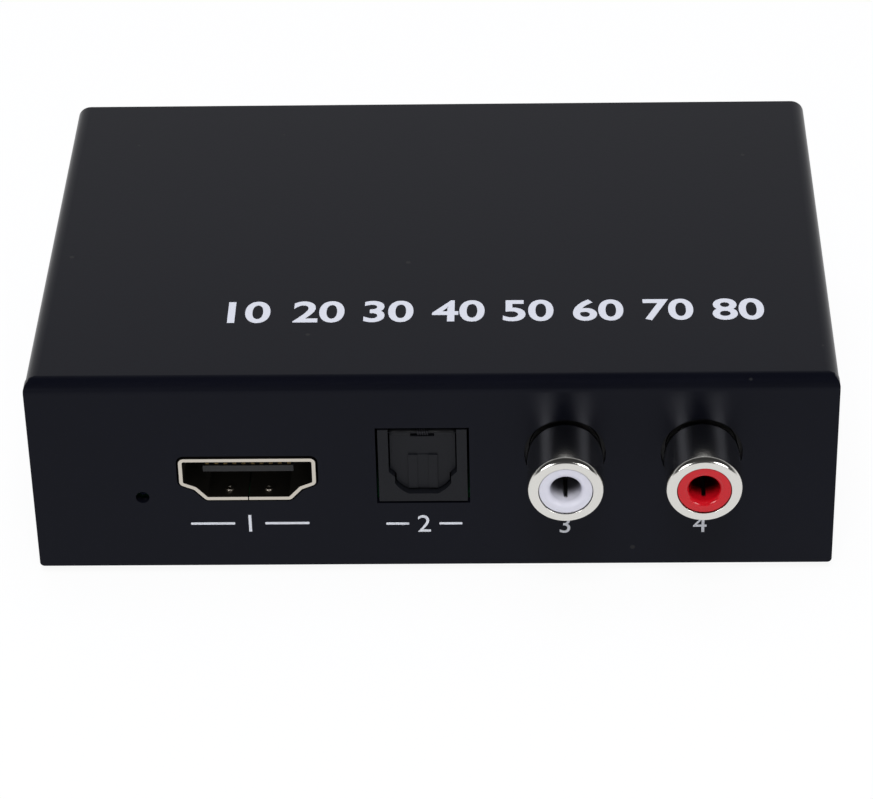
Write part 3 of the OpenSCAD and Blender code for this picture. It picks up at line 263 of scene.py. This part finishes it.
def finish(name, tone, rough, metal=0.0, specular=0.5, grain=3000.0, bump=0.02, drift=0.06,
           rough_drift=0.08, dust=0.0, extra=None):
    """A skin with grain, a slow drift of tone and sheen, and dust, on one Principled shader.

    drift and rough_drift are shares of the tone and the roughness, dust is the specks' tone, and
    extra holds further values of the shader's own sockets.
    """
    material = bpy.data.materials.new(name)
    material.use_nodes = True
    nt = material.node_tree
    shader = nt.nodes["Principled BSDF"]
    shader.inputs["Metallic"].default_value = metal
    shader.inputs["Specular IOR Level"].default_value = specular
    for label, value in (extra or {}).items():
        shader.inputs[label].default_value = value
    skin = nt.nodes.new("ShaderNodeGroup")
    skin.node_tree = SKIN_GRAIN
    skin.inputs["Grain Scale"].default_value = grain
    shade = nt.nodes.new("ShaderNodeMix")
    shade.data_type = "RGBA"
    shade.inputs[6].default_value = [*(c * (1 - drift) for c in tone), 1]
    shade.inputs[7].default_value = [*(min(1, c * (1 + drift)) for c in tone), 1]
    nt.links.new(skin.outputs["Drift"], shade.inputs["Factor"])
    colour = shade.outputs[2]
    if dust:
        specks = nt.nodes.new("ShaderNodeGroup")
        specks.node_tree = SETTLED_DUST
        dusty = nt.nodes.new("ShaderNodeMix")
        dusty.data_type = "RGBA"
        dusty.inputs[7].default_value = (dust, dust, dust, 1)
        nt.links.new(specks.outputs["Mask"], dusty.inputs["Factor"])
        nt.links.new(colour, dusty.inputs[6])
        colour = dusty.outputs[2]
    nt.links.new(colour, shader.inputs["Base Color"])
    sheen = nt.nodes.new("ShaderNodeMapRange")
    sheen.inputs["To Min"].default_value = rough * (1 - rough_drift)
    sheen.inputs["To Max"].default_value = rough * (1 + rough_drift)
    nt.links.new(skin.outputs["Drift"], sheen.inputs["Value"])
    nt.links.new(sheen.outputs["Result"], shader.inputs["Roughness"])
    relief = nt.nodes.new("ShaderNodeBump")
    relief.inputs["Strength"].default_value = bump
    relief.inputs["Distance"].default_value = RELIEF_DEPTH
    nt.links.new(skin.outputs["Height"], relief.inputs["Height"])
    nt.links.new(relief.outputs["Normal"], shader.inputs["Normal"])
    return material


def dress(name, material, edge=0.0):
    """Gives a CAD node its finish, and rounds its edges by edge millimetres, as wear does."""
    piece = nodes[name]
    piece.data.materials.clear()
    piece.data.materials.append(material)
    if not edge:
        return
    weld = piece.modifiers.new("weld", "WELD")
    weld.merge_threshold = WELD_WITHIN
    flat = piece.modifiers.new("flat", "DECIMATE")
    flat.decimate_type, flat.angle_limit = "DISSOLVE", FLAT_WITHIN
    round_off = piece.modifiers.new("edge", "BEVEL")
    round_off.width, round_off.segments = edge * MM, 2
    round_off.limit_method, round_off.angle_limit = "ANGLE", ROUND_OVER
    even = piece.modifiers.new("even", "WEIGHTED_NORMAL")
    even.weight = 100


POWDER_BLACK = finish("satin_black_powder", (0.0025, 0.0028, 0.0052), 0.29, specular=0.108,
                      grain=2600.0, bump=0.05, drift=0.1, rough_drift=0.1, dust=0.014,
                      extra={"Specular Tint": (0.82, 0.85, 1.0, 1.0)})
dress("top_cover", POWDER_BLACK, 0.1)
dress("base_tray", POWDER_BLACK, 0.1)

# Printed marks.
# White screen print on the powder: a row of plain figures on the top, and one figure under
# each socket in front, with a line to each side of it where the socket is wide.
INK = finish("white_print", (0.58, 0.59, 0.62), 0.55, specular=0.2, grain=5000.0, bump=0.1,
             drift=0.04)
INK_T = 0.02 * MM
FIGURE_THICKNESS = 0.01
LINE_CORNER_SHARE = 0.2


def figure(text, height, bold):
    """A plain figure of that height, centred, as a flat printed mesh."""
    curve = bpy.data.curves.new("figure", "FONT")
    curve.body, curve.align_x = text, "CENTER"
    curve.extrude, curve.offset = FIGURE_THICKNESS, bold
    carrier = bpy.data.objects.new("figure", curve)
    bpy.context.scene.collection.objects.link(carrier)
    bpy.context.view_layer.update()
    scene_state = bpy.context.evaluated_depsgraph_get()
    mesh = bpy.data.meshes.new_from_object(carrier.evaluated_get(scene_state))
    bpy.data.objects.remove(carrier)
    low = Vector([min(v.co[i] for v in mesh.vertices) for i in range(3)])
    high = Vector([max(v.co[i] for v in mesh.vertices) for i in range(3)])
    scale = height / (high.y - low.y)
    middle = (low + high) / 2
    resize = Matrix.Diagonal((scale, scale, INK_T / (high.z - low.z), 1))
    mesh.transform(resize @ Matrix.Translation(-middle))
    return mesh


def bar(width, height):
    """A printed line as a flat mesh, centred, with its corners cut off a little."""
    corner = min(width, height) * LINE_CORNER_SHARE
    outline = [(width / 2 - corner, height / 2), (width / 2, height / 2 - corner)]
    outline += [(x, -y) for x, y in reversed(outline)]
    outline += [(-x, y) for x, y in reversed(outline)]
    work = bmesh.new()
    face = work.faces.new([work.verts.new((x, y, -INK_T / 2)) for x, y in outline])
    made = bmesh.ops.extrude_face_region(work, geom=[face])
    raised = [v for v in made["geom"] if isinstance(v, bmesh.types.BMVert)]
    bmesh.ops.translate(work, vec=(0, 0, INK_T), verts=raised)
    bmesh.ops.recalc_face_normals(work, faces=work.faces)
    mesh = bpy.data.meshes.new("bar")
    work.to_mesh(mesh)
    work.free()
    return mesh


def print_marks(name, marks, place):
    """Joins marks (mesh, x, y) into one print and lays it on a face by the matrix place."""
    work = bmesh.new()
    for mesh, x, y in marks:
        mesh.transform(Matrix.Translation((x, y, 0)))
        work.from_mesh(mesh)
    mesh = bpy.data.meshes.new(name)
    work.to_mesh(mesh)
    work.free()
    mesh.transform(place)
    mesh.materials.append(INK)
    piece = bpy.data.objects.new(name, mesh)
    bpy.context.scene.collection.objects.link(piece)
    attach(piece, "case")


ROW_LEFT, ROW_RIGHT, ROW_BACK = -23.2 * MM, 36.6 * MM, 13.85 * MM
ROW_H, ROW_BOLD = 4.3 * MM, 0.02
ROW_FIGURES = ("10", "20", "30", "40", "50", "60", "70", "80")
FIGURE_SHARE = 0.75
row_step = (ROW_RIGHT - ROW_LEFT) / (len(ROW_FIGURES) - 1 + FIGURE_SHARE)
row = [(figure(text, ROW_H, ROW_BOLD), ROW_LEFT + (i + FIGURE_SHARE / 2) * row_step, 0)
       for i, text in enumerate(ROW_FIGURES)]
on_top = Matrix.Translation((0, front_y + ROW_BACK, case_high.z + INK_T / 2))
print_marks("print_on_top", row, on_top)

SIGN_H, SIGN_LINE_W, SIGN_GAP = 2.25 * MM, 0.3 * MM, 2.2 * MM
upright = Matrix.Rotation(math.radians(90), 4, "X")
for text, over, width, level in (("1", "video_out_shell", 13.1 * MM, 5.75 * MM),
                                 ("2", "optical_housing", 8.4 * MM, 5.6 * MM),
                                 ("3", "phono_left_insert", 0, 5.35 * MM),
                                 ("4", "phono_right_insert", 0, 5.35 * MM)):
    low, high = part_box(over)
    marks = [(figure(text, SIGN_H, 0.0), 0, 0)]
    if width:
        arm = (width - SIGN_GAP) / 2 - SIGN_H / 4
        marks += [(bar(arm, SIGN_LINE_W), side * (width - arm) / 2, 0) for side in (-1, 1)]
    in_front = Matrix.Translation(((low.x + high.x) / 2, front_y - INK_T / 2, case_low.z + level))
    print_marks(f"print_figure_{text}", marks, in_front @ upright)

# Case screws and feet.
# Four black countersunk screws hold the cover to the base. Four soft rubber feet are stuck
# on under the floor.
BLACK_OXIDE = finish("black_oxide_steel", (0.03, 0.03, 0.032), 0.35, metal=0.9, grain=4000.0,
                     bump=0.05)
RUBBER = finish("black_rubber", (0.012, 0.012, 0.012), 0.7, specular=0.3, grain=2500.0, bump=0.2,
                dust=0.1)
dress("case_screws", BLACK_OXIDE, 0.05)
dress("rubber_feet", RUBBER, 0.25)

# Video sockets.
# A thin nickel-plated shell folded round a black insulator, whose tongue carries two rows
# of gold-flashed contacts. The nickel is toned dark as painted shade, and the shell's faces
# that look along Y, the cut rim among them, get a lighter warm tone as painted light.


def rim_light_group():
    """A mask of painted light on a folded shell: the faces that look along Y, the cut rim among them.
    """
    group, given, made = socket_group("rim_painted_light", [("Sharpness", 8.0)], [("Mask", "NodeSocketFloat")])
    n, link = group.nodes, group.links.new
    place = n.new("ShaderNodeTexCoord")
    facing = n.new("ShaderNodeVectorMath")
    facing.operation = "DOT_PRODUCT"
    facing.inputs[1].default_value = (0, 1, 0)
    either = n.new("ShaderNodeMath")
    either.operation = "ABSOLUTE"
    steep = n.new("ShaderNodeMath")
    steep.operation = "POWER"
    link(place.outputs["Normal"], facing.inputs[0])
    link(facing.outputs["Value"], either.inputs[0])
    link(either.outputs[0], steep.inputs[0])
    link(given.outputs["Sharpness"], steep.inputs[1])
    link(steep.outputs[0], made.inputs["Mask"])
    return group


def tone_where(material, mask, tone, blend="MIX"):
    """Lays another tone over a finish where a mask group says so, or blends it in that way."""
    nt = material.node_tree
    shader = nt.nodes["Principled BSDF"]
    where = nt.nodes.new("ShaderNodeGroup")
    where.node_tree = mask
    over = nt.nodes.new("ShaderNodeMix")
    over.data_type, over.blend_type = "RGBA", blend
    over.inputs[7].default_value = (*tone, 1)
    nt.links.new(where.outputs["Mask"], over.inputs["Factor"])
    nt.links.new(shader.inputs["Base Color"].links[0].from_socket, over.inputs[6])
    nt.links.new(over.outputs[2], shader.inputs["Base Color"])


# The shell's nickel is toned dark as painted shade, and the tone_where below gives its faces that
# look along Y a lighter tone as painted light.
SHELL_NICKEL_PAINTED = finish("nickel_sheet_painted_light_and_shade", (0.16, 0.145, 0.125), 0.36, metal=1.0, grain=4500.0,
                      bump=0.12, drift=0.08)
tone_where(SHELL_NICKEL_PAINTED, rim_light_group(), (0.56, 0.52, 0.46))
SOCKET_BLACK = finish("socket_black_moulding", (0.012, 0.012, 0.013), 0.5, specular=0.35,
                      grain=4000.0, bump=0.1)
# The gold is toned dark as painted shade, for contacts that lie in shade inside the sockets.
GOLD_FLASH_PAINTED_DARK = finish("gold_flash_painted_shade", (0.34, 0.24, 0.1), 0.5, metal=1.0, grain=6000.0, bump=0.05)
for side in ("out", "in"):
    dress(f"video_{side}_shell", SHELL_NICKEL_PAINTED, 0.06)
    dress(f"video_{side}_insulator", SOCKET_BLACK, 0.05)
    dress(f"video_{side}_contacts", GOLD_FLASH_PAINTED_DARK)

# Optical port.
# A black moulded housing with a sprung shutter of the same plastic, closed at rest. Behind
# it is the light source in a dark clear resin.
PORT_BLACK = finish("port_black_moulding", (0.007, 0.0075, 0.0095), 0.42, specular=0.13,
                    grain=3500.0, bump=0.08, drift=0.12, dust=0.02)
TIN = finish("tin_plate", (0.62, 0.61, 0.58), 0.35, metal=1.0, grain=5000.0, bump=0.08)
dress("optical_housing", PORT_BLACK, 0.08)
dress("optical_shutter", PORT_BLACK, 0.06)
# The spring's near-black tone is painted shade, for the dark notch under the port's roof where it
# shows.
SPRING_WIRE_PAINTED_DARK = finish("spring_wire_painted_shade", (0.03, 0.03, 0.035), 0.4, metal=1.0, bump=0.05)
DARK_RESIN = finish("dark_clear_resin", (0.02, 0.012, 0.03), 0.15)
dress("optical_shutter_spring", SPRING_WIRE_PAINTED_DARK)
dress("optical_emitter", DARK_RESIN, 0.1)
dress("optical_leads", TIN)

# Phono jacks.
# Turned brass barrels with bright nickel, a moulded insert in pale or red plastic whose bore
# darkens with depth as painted shade, a sprung centre contact, and a black moulded body
# soldered to the board.
BORE_SHADE_FROM, BORE_SHADE_TO = 0.8 * MM, 3.2 * MM
insert_low, insert_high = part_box("phono_left_insert")


def bore_shade_group():
    """A mask of painted shade in an insert's bore, by depth: 0 near the mouth, 1 from BORE_SHADE_TO
    on.
    """
    group, given, made = socket_group("bore_painted_shade", [("Length", insert_high.y - insert_low.y)],
                                      [("Mask", "NodeSocketFloat")])
    n, link = group.nodes, group.links.new
    place = n.new("ShaderNodeTexCoord")
    along = n.new("ShaderNodeSeparateXYZ")
    depth = n.new("ShaderNodeMath")
    depth.operation = "MULTIPLY"
    fade = n.new("ShaderNodeMapRange")
    fade.interpolation_type = "SMOOTHSTEP"
    fade.inputs["From Min"].default_value = BORE_SHADE_FROM
    fade.inputs["From Max"].default_value = BORE_SHADE_TO
    link(place.outputs["Generated"], along.inputs[0])
    link(along.outputs["Y"], depth.inputs[0])
    link(given.outputs["Length"], depth.inputs[1])
    link(depth.outputs[0], fade.inputs["Value"])
    link(fade.outputs["Result"], made.inputs["Mask"])
    return group


BORE_PAINTED_SHADE = bore_shade_group()
BARREL_NICKEL = finish("bright_nickel", (0.66, 0.65, 0.62), 0.16, metal=1.0, grain=3500.0,
                       bump=0.06, drift=0.05)
PALE_INSERT = finish("pale_insert_plastic", (0.58, 0.575, 0.63), 0.26, bump=0.03, drift=0.04)
RED_INSERT = finish("red_insert_plastic", (0.47, 0.004, 0.01), 0.16, specular=0.35, bump=0.03,
                    drift=0.1)
# The bores are darkened towards their deep end as painted shade.
tone_where(PALE_INSERT, BORE_PAINTED_SHADE, (0.16, 0.16, 0.16), "MULTIPLY")
tone_where(RED_INSERT, BORE_PAINTED_SHADE, (0.08, 0.08, 0.08), "MULTIPLY")
JACK_BLACK = finish("jack_black_moulding", (0.012, 0.012, 0.013), 0.45, specular=0.3, grain=3500.0,
                    bump=0.1)
for side, insert in (("left", PALE_INSERT), ("right", RED_INSERT)):
    dress(f"phono_{side}_barrel", BARREL_NICKEL, 0.05)
    dress(f"phono_{side}_insert", insert, 0.04)
    dress(f"phono_{side}_contact", TIN)
    dress(f"phono_{side}_body", JACK_BLACK, 0.1)

# Power jack.
# A black moulded block at the back, soldered to the board, with a nickel centre pin and a
# tinned leaf spring.
dress("power_jack_body", JACK_BLACK, 0.12)
dress("power_jack_pin", BARREL_NICKEL, 0.12)
dress("power_jack_spring", TIN)

# Mode switch.
# A black moulded knob and its gold-flashed bridge slide in a zinc-plated frame over a brown
# phenolic base.
ZINC = finish("zinc_plate", (0.6, 0.61, 0.62), 0.32, metal=1.0, grain=2500.0, bump=0.08, drift=0.1)
PHENOLIC = finish("brown_phenolic", (0.05, 0.028, 0.018), 0.5, specular=0.3, bump=0.1)
dress("mode_switch_base", PHENOLIC, 0.05)
dress("mode_switch_frame", ZINC, 0.04)
dress("mode_switch_slider", JACK_BLACK, 0.08)
dress("mode_switch_bridge", GOLD_FLASH_PAINTED_DARK)
dress("mode_switch_terminals", TIN)

# Status light.
# A small white moulded package at the edge of the board, with a blue lens that is dark while
# it is off, behind the pinhole in the front.
LED_WHITE = finish("white_led_package", (0.75, 0.75, 0.72), 0.4, bump=0.03)
LENS_BLUE = finish("clear_blue_lens", (0.006, 0.008, 0.016), 0.12, bump=0.01)
dress("status_led", LED_WHITE, 0.05)
dress("status_led_lens", LENS_BLUE, 0.05)

# Circuit board and its parts.
# Laminate with a green solder mask, screwed to brass standoffs. On it are moulded chips,
# drawn aluminium cans and ceramic parts, all soldered.
# The green is toned very dark as painted shade, for the gaps beside the optical port where the board
# shows.
SOLDER_MASK_PAINTED_DARK = finish("green_solder_mask_painted_shade", (0.004, 0.04, 0.016), 0.3, specular=0.3, grain=900.0,
                     bump=0.05, drift=0.25)
BRASS = finish("turned_brass", (0.6, 0.42, 0.16), 0.28, metal=1.0, bump=0.05)
CHIP_RESIN = finish("chip_resin", (0.016, 0.016, 0.017), 0.55, specular=0.3, grain=4500.0, bump=0.15)
CAN_METAL = finish("drawn_aluminium", (0.66, 0.66, 0.67), 0.24, metal=1.0, bump=0.04)
FERRITE = finish("pressed_ferrite", (0.06, 0.06, 0.065), 0.6, specular=0.3, bump=0.3)
CERAMIC = finish("tan_ceramic", (0.3, 0.2, 0.11), 0.5, bump=0.05)
dress("main_board", SOLDER_MASK_PAINTED_DARK)
dress("board_standoffs", BRASS, 0.1)
dress("board_screws", ZINC, 0.15)
for name in ("main_chip", "audio_chip", "memory_chip", "regulators", "chip_resistors",
             "protection_arrays"):
    dress(name, CHIP_RESIN, 0.06)
for name in ("main_chip_leads", "audio_chip_leads", "memory_chip_leads", "regulator_tabs"):
    dress(name, TIN)
dress("clock_crystal", CAN_METAL, 0.25)
dress("filter_capacitors", CAN_METAL, 0.35)
dress("capacitor_bases", JACK_BLACK, 0.1)
dress("power_inductor", FERRITE, 0.2)
dress("chip_capacitors", CERAMIC, 0.06)
